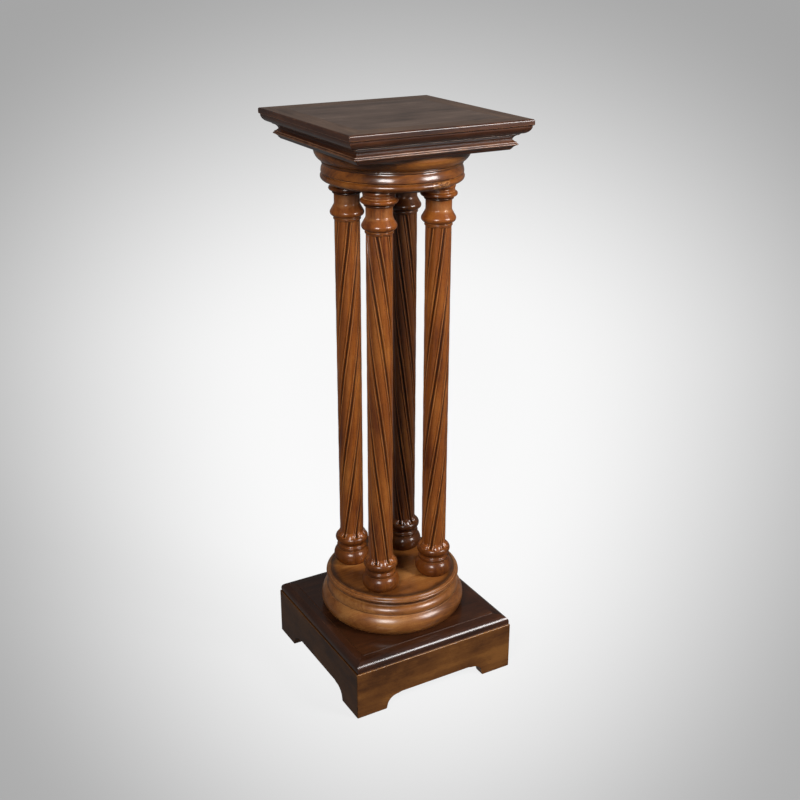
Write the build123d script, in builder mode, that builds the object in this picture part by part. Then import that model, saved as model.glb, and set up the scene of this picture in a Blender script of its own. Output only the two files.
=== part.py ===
"""Wooden display plinth: square veneered top, four spiral fluted columns, bracket-foot base.

Millimetres, +Z up. The origin is the centre of the footprint on the floor, and -Y is the front.
"""

from build123d import *
import os

# ---------------------------------------------------------------- driving dimensions
HEIGHT = 1040.0             # floor to top surface
TOP_HALF = 167.0            # half the side of the square top
BASE_HALF = 165.0           # half the side of the apron box
COLUMN_OFFSET = 57.0        # each column axis stands this far from both centre planes

# levels above the floor
APRON_TOP = 93.0
BASE_TOP = 113.0
DRUM_SPLIT = 155.0          # joint between the drum's torus ring and its upper disc
DRUM_TOP = 190.0
COLLAR_BOTTOM = 929.5
COLLAR_SPLIT = 961.5        # joint between the collar's two discs
COLLAR_TOP = 990.0
CORNICE_TOP = 1015.5
VENEER = 1.5                # thickness of the laid top veneers
VENEER_BED = HEIGHT - VENEER

# square work, as half-widths from the centre
FIELD_HALF = 130.0          # inner edge of the crossbanding
LIP_INNER = 163.5           # outer edge of the crossbanding
EASED_EDGE = 2.5            # rounding of the top's upper arris
TOP_CORE_HALF = 140.0
SUB_TOP_HALF = 118.0
BASE_PANEL_HALF = 140.0
BASE_MOULD_HALF = 163.2
APRON_THICK = 20.0
APRON_INNER = BASE_HALF - APRON_THICK

# bracket feet
FOOT_INNER = 104.5          # inner end of the sole, from the centre
FOOT_STEP = 102.5           # top of the toe
FOOT_TOE = 9.0
ARCH_HALF = 73.0            # half the straight part of the arch
ARCH_TOP = 27.0
ARCH_SHOULDER = 80.0
ARCH_SHOULDER_Z = 25.0

# corner blocks
BLOCK_LEG = 60.0
BLOCK_BOTTOM = 30.0
BLOCK_SCREW_POS = 126.0     # screw axis from both centre planes

# columns
SHAFT_R = 22.4
TENON_R = 13.0
TENON_LENGTH = 25.0
FLUTES = 6
FLUTE_BOTTOM = 246.0
FLUTE_TOP = 857.5
FLUTE_FLOOR_R = 19.8        # radius at the bottom of a flute
FLUTE_TOOL_R = 32.0         # the cutter reaches out through the base ring's shoulder
FLUTE_HALF_WIDTH = 2.0
FLUTE_MOUTH_HALF = 3.6
TWIST_RATE = 0.37           # degrees of twist for each millimetre of height
PHASE_LEVEL = 555.0         # height at which the phases below are given

# column: name, x side, y side, twist hand, flute angle at PHASE_LEVEL
COLUMNS = (
    ("column_front_left", -1, -1, -1, 57.0),
    ("column_front_right", 1, -1, 1, 44.0),
    ("column_back_left", -1, 1, 1, 25.0),
    ("column_back_right", 1, 1, -1, 54.0),
)

# the four sides of the square work, as turns from the front
SIDES = (("front", 0.0), ("right", 90.0), ("back", 180.0), ("left", 270.0))

# countersunk wood screws
SHANK_R = 2.0
HEAD_R = 4.0
HEAD_HEIGHT = 3.0
POINT_HEIGHT = 5.0
SLOT_WIDTH = 1.0
SLOT_DEPTH = 1.2
OUTER_RING_R = 90.0         # pitch radius of the screws between square and turned work
INNER_RING_R = 60.0         # pitch radius of the screws between turned pieces
DRUM_COUNTERBORE = 12.0
BLOCK_COUNTERBORE = 28.0
COUNTERBORE_R = 5.0
TOP_SCREW_POS = 103.0       # axis of the top's fixing screws, from both centre planes

os.makedirs("parts", exist_ok=True)


def save(piece, name):
    """Labels a finished piece and writes it to its own STEP file."""
    piece.label = name
    export_step(piece, "parts/" + name + ".step")


# ---------------------------------------------------------------- screws
def wood_screw(length):
    """One slotted countersunk screw: head face at the origin, pointing down."""
    with BuildPart() as screw:
        with BuildSketch(Plane.XZ):
            with BuildLine():
                Polyline(
                    (0, 0),
                    (HEAD_R, 0),
                    (SHANK_R, -HEAD_HEIGHT),
                    (SHANK_R, POINT_HEIGHT - length),
                    (0, -length),
                    close=True,
                )
            make_face()
        revolve(axis=Axis.Z)
    return screw.part


def slotted(screw):
    """The same screw with its driver slot."""
    with BuildPart() as cut_screw:
        add(screw)
        Box(2 * HEAD_R + 1, SLOT_WIDTH, 2 * SLOT_DEPTH, mode=Mode.SUBTRACT)
    return cut_screw.part


UP = (180, 0, 0)
DOWN = (0, 0, 0)


def ring_of_screws(screw, radius, level, upward):
    """Four screws on a circle about the Z axis."""
    with BuildPart() as group:
        with Locations(Location((0, 0, level))):
            with PolarLocations(radius, 4):
                add(screw, rotation=UP if upward else DOWN)
    return group.part


def square_of_screws(screw, offset, level, upward):
    """Four screws at the corners of a square."""
    with BuildPart() as group:
        with Locations(Location((0, 0, level))):
            with GridLocations(2 * offset, 2 * offset, 2, 2):
                add(screw, rotation=UP if upward else DOWN)
    return group.part


SUB_TOP_SCREW = 45.0
COLLAR_SCREW = 50.0
TOP_SCREW = 40.0
DRUM_SCREW = 45.0
BASE_SCREW = 45.0
BLOCK_SCREW = 50.0
DRUM_SCREW_LEVEL = BASE_TOP + DRUM_COUNTERBORE
BLOCK_SCREW_LEVEL = BLOCK_BOTTOM + BLOCK_COUNTERBORE


def screw_group(name, length, place, reach, level, upward):
    """Saves four slotted screws, and returns the same four without slots, to cut their holes with."""
    plain = wood_screw(length)
    save(place(slotted(plain), reach, level, upward), name)
    return place(plain, reach, level, upward)


sub_top_plugs = screw_group(
    "sub_top_screws", SUB_TOP_SCREW, ring_of_screws, OUTER_RING_R, CORNICE_TOP, False
)
collar_plugs = screw_group(
    "collar_screws", COLLAR_SCREW, ring_of_screws, INNER_RING_R, COLLAR_TOP, False
)
top_plugs = screw_group(
    "top_screws", TOP_SCREW, square_of_screws, TOP_SCREW_POS, COLLAR_TOP, True
)
drum_plugs = screw_group(
    "drum_screws", DRUM_SCREW, ring_of_screws, INNER_RING_R, DRUM_SCREW_LEVEL, True
)
base_plugs = screw_group(
    "base_screws", BASE_SCREW, ring_of_screws, OUTER_RING_R, APRON_TOP, True
)
block_plugs = screw_group(
    "block_screws", BLOCK_SCREW, square_of_screws, BLOCK_SCREW_POS, BLOCK_SCREW_LEVEL, True
)

# ---------------------------------------------------------------- square work
STOCK_HALF = TOP_HALF + 5   # half the length of a moulding before it is mitred
PROFILE_PLANE = Plane.YZ.offset(-STOCK_HALF)


def mitre(stock, turn):
    """Mitres both ends of a front length, and turns it to its own side."""
    with BuildPart() as side:
        add(stock)
        split(bisect_by=Plane(origin=(0, 0, 0), z_dir=(1, 1, 0)), keep=Keep.BOTTOM)
        split(bisect_by=Plane(origin=(0, 0, 0), z_dir=(-1, 1, 0)), keep=Keep.BOTTOM)
    with BuildPart() as placed:
        add(side.part, rotation=(0, 0, turn))
    return placed.part


def save_sides(profile, stem):
    """Writes the four mitred sides of one frame.

    The profile is drawn at the left end of the front side, where its local x is -(half-width).
    """
    with BuildPart() as stock:
        extrude(profile, amount=2 * STOCK_HALF, dir=(1, 0, 0))
    for side_name, turn in SIDES:
        save(mitre(stock.part, turn), stem + "_" + side_name)


def square_board(half, bottom, top, plugs):
    """A square board with its screw holes."""
    with BuildPart() as board:
        with BuildSketch(Plane.XY.offset(bottom)):
            Rectangle(2 * half, 2 * half)
        extrude(amount=top - bottom)
        for plug in plugs:
            add(plug, mode=Mode.SUBTRACT)
    return board.part


# aprons with bracket feet
with BuildPart() as apron_stock:
    with BuildSketch(Plane.XZ.offset(APRON_INNER)):
        with BuildLine():
            Polyline(
                (-BASE_HALF, APRON_TOP),
                (-BASE_HALF, 0),
                (-FOOT_INNER, 0),
                (-FOOT_STEP, FOOT_TOE),
            )
            ThreePointArc((-FOOT_STEP, FOOT_TOE), (-95, 20), (-ARCH_SHOULDER, ARCH_SHOULDER_Z))
            Polyline((-ARCH_SHOULDER, ARCH_SHOULDER_Z), (-ARCH_HALF, ARCH_TOP), (0, ARCH_TOP))
            mirror(about=Plane.YZ)
            Line((-BASE_HALF, APRON_TOP), (BASE_HALF, APRON_TOP))
        make_face()
    extrude(amount=APRON_THICK)
for side_name, turn in SIDES:
    save(mitre(apron_stock.part, turn), "apron_" + side_name)

# thumbnail moulding round the base panel
with BuildSketch(PROFILE_PLANE) as base_moulding:
    with BuildLine():
        Polyline(
            (-BASE_MOULD_HALF + 1, APRON_TOP),
            (-BASE_PANEL_HALF, APRON_TOP),
            (-BASE_PANEL_HALF, BASE_TOP - 0.8),
            (-153, BASE_TOP - 1.6),
        )
        ThreePointArc((-153, BASE_TOP - 1.6), (-160.4, 106.4), (-BASE_MOULD_HALF, 98.5))
        Polyline(
            (-BASE_MOULD_HALF, 98.5),
            (-BASE_MOULD_HALF, 95.5),
            (-BASE_MOULD_HALF + 1, 95),
            (-BASE_MOULD_HALF + 1, APRON_TOP),
        )
    make_face()
save_sides(base_moulding.sketch, "base_moulding")

save(square_board(BASE_PANEL_HALF, APRON_TOP, BASE_TOP, (base_plugs, block_plugs)), "base_panel")

# triangular glue blocks in the corners of the apron box
for corner, (x_side, y_side) in {
    "front_left": (-1, -1),
    "front_right": (1, -1),
    "back_right": (1, 1),
    "back_left": (-1, 1),
}.items():
    with BuildPart() as corner_block:
        with BuildSketch(Plane.XY.offset(BLOCK_BOTTOM)):
            with BuildLine():
                Polyline(
                    (x_side * APRON_INNER, y_side * APRON_INNER),
                    (x_side * (APRON_INNER - BLOCK_LEG), y_side * APRON_INNER),
                    (x_side * APRON_INNER, y_side * (APRON_INNER - BLOCK_LEG)),
                    close=True,
                )
            make_face()
        extrude(amount=APRON_TOP - BLOCK_BOTTOM)
        with BuildSketch(Plane.XY.offset(BLOCK_BOTTOM)):
            with Locations((x_side * BLOCK_SCREW_POS, y_side * BLOCK_SCREW_POS)):
                Circle(COUNTERBORE_R)
        extrude(amount=BLOCK_COUNTERBORE, mode=Mode.SUBTRACT)
        add(block_plugs, mode=Mode.SUBTRACT)
    save(corner_block.part, "corner_block_" + corner)

# moulded edge of the top: lipped slab edge over an ovolo
with BuildSketch(PROFILE_PLANE) as top_moulding:
    with BuildLine():
        Polyline(
            (-151.5, 1016.5),
            (-151, CORNICE_TOP),
            (-TOP_CORE_HALF, CORNICE_TOP),
            (-TOP_CORE_HALF, VENEER_BED),
            (-LIP_INNER, VENEER_BED),
            (-LIP_INNER, HEIGHT),
            (-TOP_HALF + EASED_EDGE, HEIGHT),
        )
        RadiusArc((-TOP_HALF + EASED_EDGE, HEIGHT), (-TOP_HALF, HEIGHT - EASED_EDGE), -EASED_EDGE)
        Polyline((-TOP_HALF, HEIGHT - EASED_EDGE), (-TOP_HALF, 1031), (-164.5, 1029.5), (-164.5, 1027))
        ThreePointArc((-164.5, 1027), (-160.4, 1020.2), (-151.5, 1016.5))
    make_face()
save_sides(top_moulding.sketch, "top_moulding")

# cornice under the top: cove, then a splayed lower member with two reeds
with BuildSketch(PROFILE_PLANE) as cornice:
    with BuildLine():
        Polyline(
            (-139.5, COLLAR_TOP),
            (-SUB_TOP_HALF, COLLAR_TOP),
            (-SUB_TOP_HALF, CORNICE_TOP),
            (-150, CORNICE_TOP),
            (-150, 1014.3),
        )
        ThreePointArc((-150, 1014.3), (-144.2, 1011.4), (-141.8, 1006.8))
        Polyline((-141.8, 1006.8), (-145.4, 1003.4))
        ThreePointArc((-145.4, 1003.4), (-147.1, 1002.7), (-147, 1001))
        ThreePointArc((-147, 1001), (-148.9, 1000.1), (-148.7, 998))
        ThreePointArc((-148.7, 998), (-144.2, 995.6), (-142, 992.6))
        Line((-142, 992.6), (-139.5, COLLAR_TOP))
    make_face()
save_sides(cornice.sketch, "cornice")

save(square_board(TOP_CORE_HALF, CORNICE_TOP, VENEER_BED, (top_plugs,)), "top_core")
save(square_board(SUB_TOP_HALF, COLLAR_TOP, CORNICE_TOP, (sub_top_plugs, top_plugs)), "sub_top")
save(square_board(FIELD_HALF, VENEER_BED, HEIGHT, ()), "top_field_veneer")

# mitred crossbanding round the field
with BuildSketch(PROFILE_PLANE) as crossband:
    with Locations((-(FIELD_HALF + LIP_INNER) / 2, HEIGHT - VENEER / 2)):
        Rectangle(LIP_INNER - FIELD_HALF, VENEER)
save_sides(crossband.sketch, "crossband")

# ---------------------------------------------------------------- columns
def column_blank():
    """The turned column with its tenons, before the flutes are cut."""
    with BuildPart() as blank:
        with BuildSketch(Plane.XZ):
            with BuildLine():
                # lower tenon and base torus
                Polyline(
                    (0, DRUM_TOP - TENON_LENGTH),
                    (TENON_R, DRUM_TOP - TENON_LENGTH),
                    (TENON_R, DRUM_TOP),
                    (28, DRUM_TOP),
                )
                ThreePointArc((28, DRUM_TOP), (34.4, 203), (29.2, 217.6))
                # quirk, fillet, cove, ring and shoulder
                Polyline((29.2, 217.6), (27.6, 219), (28.6, 220.8), (28.6, 224.4), (27.9, 225.4))
                ThreePointArc((27.9, 225.4), (25.6, 229), (27.4, 232.8))
                ThreePointArc((27.4, 232.8), (31, 239.5), (28.5, 246))
                ThreePointArc((28.5, 246), (26, 250.6), (SHAFT_R, 254))
                # shaft, its top fillet and a quirk
                Polyline(
                    (SHAFT_R, 254),
                    (SHAFT_R, 859),
                    (24, 859.8),
                    (24, 862.4),
                    (23, 863.4),
                    (24.2, 864.8),
                    (26.8, 866.2),
                )
                # lower capital ring, flaring in to the plain neck
                ThreePointArc((26.8, 866.2), (29.7, 871.4), (28.2, 876))
                ThreePointArc((28.2, 876), (24, 880.4), (SHAFT_R, 887))
                Line((SHAFT_R, 887), (SHAFT_R, 903.6))
                # astragal, then the upper capital ring
                Line((SHAFT_R, 903.6), (23.2, 904.2))
                ThreePointArc((23.2, 904.2), (25.4, 906), (23.6, 907.8))
                Polyline((23.6, 907.8), (23.4, 908.6), (27.5, 909.3))
                ThreePointArc((27.5, 909.3), (31.5, 913.2), (27.6, 917.2))
                # fillet, quirk and the bead under the collar
                Polyline((27.6, 917.2), (27, 917.8), (27, 922), (26.3, 922.6), (27.2, 923.4))
                ThreePointArc((27.2, 923.4), (28.2, 926.2), (27.6, COLLAR_BOTTOM))
                # upper tenon
                Polyline(
                    (27.6, COLLAR_BOTTOM),
                    (TENON_R, COLLAR_BOTTOM),
                    (TENON_R, COLLAR_BOTTOM + TENON_LENGTH),
                    (0, COLLAR_BOTTOM + TENON_LENGTH),
                    (0, DRUM_TOP - TENON_LENGTH),
                )
            make_face()
        revolve(axis=Axis.Z)
    return blank.part


def flute_cutter(phase):
    """One right-handed spiral cutter whose middle is at the given angle at PHASE_LEVEL."""
    length = FLUTE_TOP - FLUTE_BOTTOM
    start = phase - TWIST_RATE * (PHASE_LEVEL - FLUTE_BOTTOM)
    with BuildSketch(Plane.XY.offset(FLUTE_BOTTOM)) as section:
        with BuildLine(Plane.XY.rotated((0, 0, start))):
            Polyline(
                (FLUTE_FLOOR_R, 0.9),
                (SHAFT_R, FLUTE_HALF_WIDTH),
                (FLUTE_TOOL_R, FLUTE_MOUTH_HALF),
                (FLUTE_TOOL_R, -FLUTE_MOUTH_HALF),
                (SHAFT_R, -FLUTE_HALF_WIDTH),
                (FLUTE_FLOOR_R, -0.9),
                close=True,
            )
        make_face()
    return Solid.extrude_linear_with_rotation(
        section.sketch.faces()[0], (0, 0, FLUTE_BOTTOM), (0, 0, length), TWIST_RATE * length
    )


blank_column = column_blank()
for name, x_side, y_side, hand, phase in COLUMNS:
    with BuildPart() as fluted:
        add(blank_column)
        for number in range(FLUTES):
            add(flute_cutter(hand * phase + number * 360 / FLUTES), mode=Mode.SUBTRACT)
    with BuildPart() as column:
        if hand > 0:
            add(fluted.part)
        else:
            add(mirror(fluted.part, about=Plane.XZ, mode=Mode.PRIVATE))
    save(column.part.moved(Location((x_side * COLUMN_OFFSET, y_side * COLUMN_OFFSET, 0))), name)

# ---------------------------------------------------------------- drum and collar
# lower drum: a broad torus ring
with BuildPart() as drum_lower:
    with BuildSketch(Plane.XZ):
        with BuildLine():
            Polyline((0, DRUM_SPLIT), (0, BASE_TOP), (126, BASE_TOP))
            ThreePointArc((126, BASE_TOP), (136, 131), (127, 152))
            Polyline((127, 152), (126, 153), (126, DRUM_SPLIT), (0, DRUM_SPLIT))
        make_face()
    revolve(axis=Axis.Z)
    with BuildSketch(Plane.XY.offset(BASE_TOP)):
        with PolarLocations(INNER_RING_R, 4):
            Circle(COUNTERBORE_R)
    extrude(amount=DRUM_COUNTERBORE, mode=Mode.SUBTRACT)
    add(drum_plugs, mode=Mode.SUBTRACT)
    add(base_plugs, mode=Mode.SUBTRACT)
save(drum_lower.part, "drum_lower")

# upper drum: ovolo, cavetto and a double bead round the disc that carries the columns
with BuildPart() as drum_upper:
    with BuildSketch(Plane.XZ):
        with BuildLine():
            Polyline((0, DRUM_TOP), (0, DRUM_SPLIT), (126, DRUM_SPLIT), (126, 157.2))
            ThreePointArc((126, 157.2), (123.6, 165), (118, 169.4))
            Polyline((118, 169.4), (117.2, 171.5))
            ThreePointArc((117.2, 171.5), (119, 176.2), (123.6, 178.6))
            ThreePointArc((123.6, 178.6), (126.6, 182.2), (123, 185.6))
            ThreePointArc((123, 185.6), (120.8, 188.9), (116.2, 189))
            Polyline((116.2, 189), (115, DRUM_TOP), (0, DRUM_TOP))
        make_face()
    revolve(axis=Axis.Z)
    with BuildSketch(Plane.XY.offset(DRUM_TOP)):
        with GridLocations(2 * COLUMN_OFFSET, 2 * COLUMN_OFFSET, 2, 2):
            Circle(TENON_R)
    extrude(amount=-TENON_LENGTH, mode=Mode.SUBTRACT)
    add(drum_plugs, mode=Mode.SUBTRACT)
save(drum_upper.part, "drum_upper")

# lower collar disc: cove underneath, ring, quirk and a broad swelled band
with BuildPart() as collar_lower:
    with BuildSketch(Plane.XZ):
        with BuildLine():
            Polyline(
                (0, COLLAR_SPLIT),
                (0, COLLAR_BOTTOM),
                (106.6, COLLAR_BOTTOM),
                (107.4, 930.6),
            )
            ThreePointArc((107.4, 930.6), (111.6, 932), (116.8, 934.2))
            ThreePointArc((116.8, 934.2), (121.4, 939.6), (118.8, 944.2))
            Polyline((118.8, 944.2), (117.2, 944.9), (118.2, 945.9))
            ThreePointArc((118.2, 945.9), (120.2, 952.4), (118, 960.5))
            Polyline((118, 960.5), (116.6, COLLAR_SPLIT), (0, COLLAR_SPLIT))
        make_face()
    revolve(axis=Axis.Z)
    with BuildSketch(Plane.XY.offset(COLLAR_BOTTOM)):
        with GridLocations(2 * COLUMN_OFFSET, 2 * COLUMN_OFFSET, 2, 2):
            Circle(TENON_R)
    extrude(amount=TENON_LENGTH, mode=Mode.SUBTRACT)
    add(collar_plugs, mode=Mode.SUBTRACT)
save(collar_lower.part, "collar_lower")

# upper collar disc: thin bead, then an ovolo up to a fillet under the square top
with BuildPart() as collar_upper:
    with BuildSketch(Plane.XZ):
        with BuildLine():
            Polyline((116.6, COLLAR_SPLIT), (0, COLLAR_SPLIT), (0, COLLAR_TOP), (131.5, COLLAR_TOP))
            Line((131.5, COLLAR_TOP), (131.5, 981))
            ThreePointArc((131.5, 981), (126.6, 971.4), (117.8, 965.6))
            ThreePointArc((117.8, 965.6), (119, 963.6), (116.6, COLLAR_SPLIT))
        make_face()
    revolve(axis=Axis.Z)
    add(collar_plugs, mode=Mode.SUBTRACT)
    add(sub_top_plugs, mode=Mode.SUBTRACT)
save(collar_upper.part, "collar_upper")
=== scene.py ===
"""Display plinth: finished meshes, wood materials and a studio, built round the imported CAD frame.

Metres, in the row frame: +Z up, origin on the floor, -Y is the front.
Profiles are written in millimetres, as they are in the CAD source, and scaled when a mesh is made.
"""
import math

import bpy
import numpy as np
from mathutils import Matrix, Vector


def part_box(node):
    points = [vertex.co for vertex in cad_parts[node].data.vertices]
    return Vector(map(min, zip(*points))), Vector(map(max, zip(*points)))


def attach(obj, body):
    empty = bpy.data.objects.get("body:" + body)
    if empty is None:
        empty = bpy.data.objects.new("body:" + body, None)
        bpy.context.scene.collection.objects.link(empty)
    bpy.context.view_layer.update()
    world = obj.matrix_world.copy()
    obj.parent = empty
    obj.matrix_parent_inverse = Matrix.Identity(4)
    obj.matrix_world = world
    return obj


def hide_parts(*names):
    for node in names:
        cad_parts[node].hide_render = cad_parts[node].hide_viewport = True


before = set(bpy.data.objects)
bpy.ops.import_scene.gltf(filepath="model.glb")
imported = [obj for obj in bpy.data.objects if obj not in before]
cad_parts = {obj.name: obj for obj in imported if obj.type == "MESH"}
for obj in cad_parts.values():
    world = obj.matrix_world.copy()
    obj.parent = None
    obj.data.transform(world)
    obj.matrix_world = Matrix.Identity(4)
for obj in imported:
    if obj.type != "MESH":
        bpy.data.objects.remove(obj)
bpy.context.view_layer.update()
MM = 0.001

# ---------------------------------------------------------------- levels and sizes from the frame


def top_of(node):
    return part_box(node)[1].z / MM


def bottom_of(node):
    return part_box(node)[0].z / MM


def half_of(node):
    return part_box(node)[1].x / MM


HEIGHT = top_of("top_field_veneer")
TOP_HALF = half_of("top_moulding_front")
FIELD_HALF = half_of("top_field_veneer")
LIP_INNER = half_of("crossband_front")
VENEER_BED = bottom_of("top_field_veneer")
CORNICE_TOP = bottom_of("top_core")
TOP_CORE_HALF = half_of("top_core")
SUB_TOP_HALF = half_of("sub_top")
COLLAR_TOP = top_of("collar_upper")
COLLAR_SPLIT = top_of("collar_lower")
COLLAR_BOTTOM = bottom_of("collar_lower")
DRUM_TOP = top_of("drum_upper")
DRUM_SPLIT = top_of("drum_lower")
BASE_TOP = top_of("base_panel")
BASE_PANEL_HALF = half_of("base_panel")
APRON_TOP = top_of("apron_front")
BASE_HALF = half_of("apron_front")
BASE_MOULD_HALF = half_of("base_moulding_front")
APRON_INNER = -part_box("apron_front")[1].y / MM


# ---------------------------------------------------------------- profiles
def line_to(points, r, z, step=0.6):
    """Adds a straight run to a profile, in short steps."""
    start = np.array(points[-1], float)
    end = np.array((r, z), float)
    count = max(1, int(np.linalg.norm(end - start) / step))
    for number in range(1, count + 1):
        points.append(tuple(start + (end - start) * number / count))


def arc_to(points, middle, end, step=0.35):
    """Adds an arc through a middle point to a profile, in short steps."""
    a = complex(*points[-1])
    b = complex(*middle)
    c = complex(*end)
    w = (c - a) / (b - a)
    centre = (b - a) * (w - abs(w) ** 2) / (2j * w.imag) + a
    centre = complex(centre)
    radius = abs(a - centre)
    first = np.angle(a - centre)
    sweep = np.angle((c - centre) / (a - centre))
    through = np.angle((b - centre) / (a - centre))
    if sweep * through < 0 or abs(through) > abs(sweep):
        sweep -= math.copysign(2 * math.pi, sweep)
    count = max(4, int(abs(sweep) * radius / step))
    for number in range(1, count + 1):
        point = centre + radius * np.exp(1j * (first + sweep * number / count))
        points.append((point.real, point.imag))


def profile(start, *runs):
    """A dense profile from straight runs, written (r, z), and arcs, written (middle, end)."""
    points = [start]
    for run in runs:
        if isinstance(run[0], tuple):
            arc_to(points, run[0], run[1])
        else:
            line_to(points, *run)
    return np.array(points, float)


def resample(points, step):
    """The same path with evenly spaced points."""
    lengths = np.r_[0, np.cumsum(np.linalg.norm(np.diff(points, axis=0), axis=1))]
    count = max(8, int(lengths[-1] / step))
    at = np.linspace(0, lengths[-1], count + 1)
    return np.stack([np.interp(at, lengths, points[:, k]) for k in (0, 1)], axis=1)


def soften(points, radius, closed=False):
    """Rounds the corners of a profile by about the radius, as sanding and polish do."""
    step = 0.12
    fine = resample(points, step)
    reach = max(1, int(3 * radius / step))
    kernel = np.exp(-0.5 * (np.arange(-reach, reach + 1) * step / radius) ** 2)
    kernel /= kernel.sum()
    if closed:
        fine = fine[:-1]
        padded = np.concatenate([fine[-reach:], fine, fine[:reach]])
    else:
        before = 2 * fine[0] - fine[reach:0:-1]
        after = 2 * fine[-1] - fine[-2:-reach - 2:-1]
        padded = np.concatenate([before, fine, after])
    smooth = np.stack([np.convolve(padded[:, k], kernel, "valid") for k in (0, 1)], axis=1)
    return np.concatenate([smooth, smooth[:1]]) if closed else smooth


TINY = 1e-9                 # shorter lengths, in mm, count as none


def simplify(points, tolerance):
    """Keeps only the points that the shape needs (Ramer-Douglas-Peucker)."""
    keep = {0, len(points) - 1}
    spans = [(0, len(points) - 1)]
    while spans:
        first, last = spans.pop()
        if last - first < 2:
            continue
        a, b = points[first], points[last]
        chord = b - a
        size = np.hypot(*chord)
        rest = points[first + 1:last] - a
        if size < TINY:
            off = np.hypot(*rest.T)
        else:
            off = abs(chord[0] * rest[:, 1] - chord[1] * rest[:, 0]) / size
        worst = int(off.argmax())
        if off[worst] > tolerance:
            middle = first + 1 + worst
            keep.add(middle)
            spans += [(first, middle), (middle, last)]
    return points[sorted(keep)]


def finished(points, radius=0.4, tolerance=0.02, closed=False):
    """A profile with eased corners and no more points than it needs."""
    return simplify(soften(points, radius, closed), tolerance)


# ---------------------------------------------------------------- meshes
def bend(points, closed):
    """Curvature (1/mm) along the first axis of a grid, as vectors towards the inside of each bend."""
    if closed:
        before = np.roll(points, 1, axis=0)
        after = np.roll(points, -1, axis=0)
    else:
        before = np.concatenate([points[:1], points[:-1]])
        after = np.concatenate([points[1:], points[-1:]])
    a = points - before
    b = after - points
    la = np.linalg.norm(a, axis=-1, keepdims=True) + TINY
    lb = np.linalg.norm(b, axis=-1, keepdims=True) + TINY
    return 2 * (b / lb - a / la) / (la + lb)


BEND_GAIN = 0.9             # a bend with this radius in mm, or a smaller one, has full wear if convex, and full grime and painted shade if concave


def edge_fields(grid, normals, close_rows, close_columns):
    """Wear (0 to 1) on sharp convex edges, and grime with painted shade (0 to 1) in hollows and creases,
    from a grid of points in mm.
    """
    wear_and_light = np.zeros(grid.shape[:2])
    dirt_and_shade = np.zeros(grid.shape[:2])
    for axis, closed in ((0, close_rows), (1, close_columns)):
        turned = np.swapaxes(grid, 0, axis)
        curve = np.swapaxes(bend(turned, closed), 0, axis)
        towards = -(curve * normals).sum(-1)
        wear_and_light = np.maximum(wear_and_light, towards)
        dirt_and_shade = np.maximum(dirt_and_shade, -towards)
    return np.clip(wear_and_light * BEND_GAIN, 0, 1), np.clip(dirt_and_shade * BEND_GAIN, 0, 1)


def grid_normals(grid, close_rows, close_columns):
    """Outward unit normals of a grid of points."""
    def along(axis, closed):
        if closed:
            return np.roll(grid, -1, axis=axis) - np.roll(grid, 1, axis=axis)
        return np.gradient(grid, axis=axis)

    normals = np.cross(along(1, close_columns), along(0, close_rows))
    return normals / (np.linalg.norm(normals, axis=-1, keepdims=True) + TINY * TINY)


def add_field(mesh, name, values):
    """One number for each vertex, for the materials to read."""
    attribute = mesh.attributes.new(name, "FLOAT", "POINT")
    attribute.data.foreach_set("value", np.asarray(values, np.float32).ravel())


def add_grain(mesh, coordinates):
    """Wood coordinates in metres: the first runs along the grain."""
    attribute = mesh.attributes.new("wood", "FLOAT_VECTOR", "POINT")
    attribute.data.foreach_set("vector", np.asarray(coordinates, np.float32).ravel())


def make_piece(name, vertices, faces, material, slot, node, wear_and_light, dirt_and_shade, grain, crease=35.0):
    """One finished object that stands for a CAD node of the same name."""
    mesh = bpy.data.meshes.new(name + "_shape")
    mesh.from_pydata((vertices * MM).tolist(), [], faces)
    mesh.validate()
    add_field(mesh, "wear_and_light", wear_and_light)
    add_field(mesh, "dirt_and_shade", dirt_and_shade)
    add_grain(mesh, grain)
    mesh.shade_smooth()
    mesh.set_sharp_from_angle(angle=math.radians(crease))
    mesh.materials.append(material)
    piece = bpy.data.objects.new(name + "_finished", mesh)
    bpy.context.scene.collection.objects.link(piece)
    weighted = piece.modifiers.new("even_shading", "WEIGHTED_NORMAL")
    weighted.keep_sharp = True
    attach(piece, "root")
    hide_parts(node)
    return piece


def grid_faces(rows, columns, close_rows, close_columns, first=0):
    """Quads of a grid, numbered row by row."""
    faces = []
    for row in range(rows if close_rows else rows - 1):
        above = (row + 1) % rows
        for column in range(columns if close_columns else columns - 1):
            beside = (column + 1) % columns
            faces.append((
                first + row * columns + column,
                first + row * columns + beside,
                first + above * columns + beside,
                first + above * columns + column,
            ))
    return faces


LOG_REACH = 3.0             # each board is cut from its own place, up to this many metres along the log


def grain_frame(vertices, along, seed):
    """Wood coordinates for a piece cut from its own board, with the grain along one axis."""
    draw = np.random.default_rng(seed)
    order = {"x": (0, 1, 2), "y": (1, 2, 0), "z": (2, 0, 1)}[along]
    local = vertices[:, order] * MM
    turn = draw.uniform(0, 2 * math.pi)
    across = np.stack([
        local[:, 1] * math.cos(turn) - local[:, 2] * math.sin(turn),
        local[:, 1] * math.sin(turn) + local[:, 2] * math.cos(turn),
    ], axis=1)
    shifted = np.concatenate([local[:, :1], across], axis=1)
    return shifted + draw.uniform(-LOG_REACH, LOG_REACH, 3)


# ---------------------------------------------------------------- turned work
HOLLOW_SLOPE = 0.65         # a row is in a hollow if it lies inside a slope this steep from any other row
HOLLOW_DEPTH = 5.0          # hollows this deep, in mm, get the most painted shade
SHADE_IN_HOLLOWS = 0.5                   # how much painted shade darkens the deepest hollows


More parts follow.
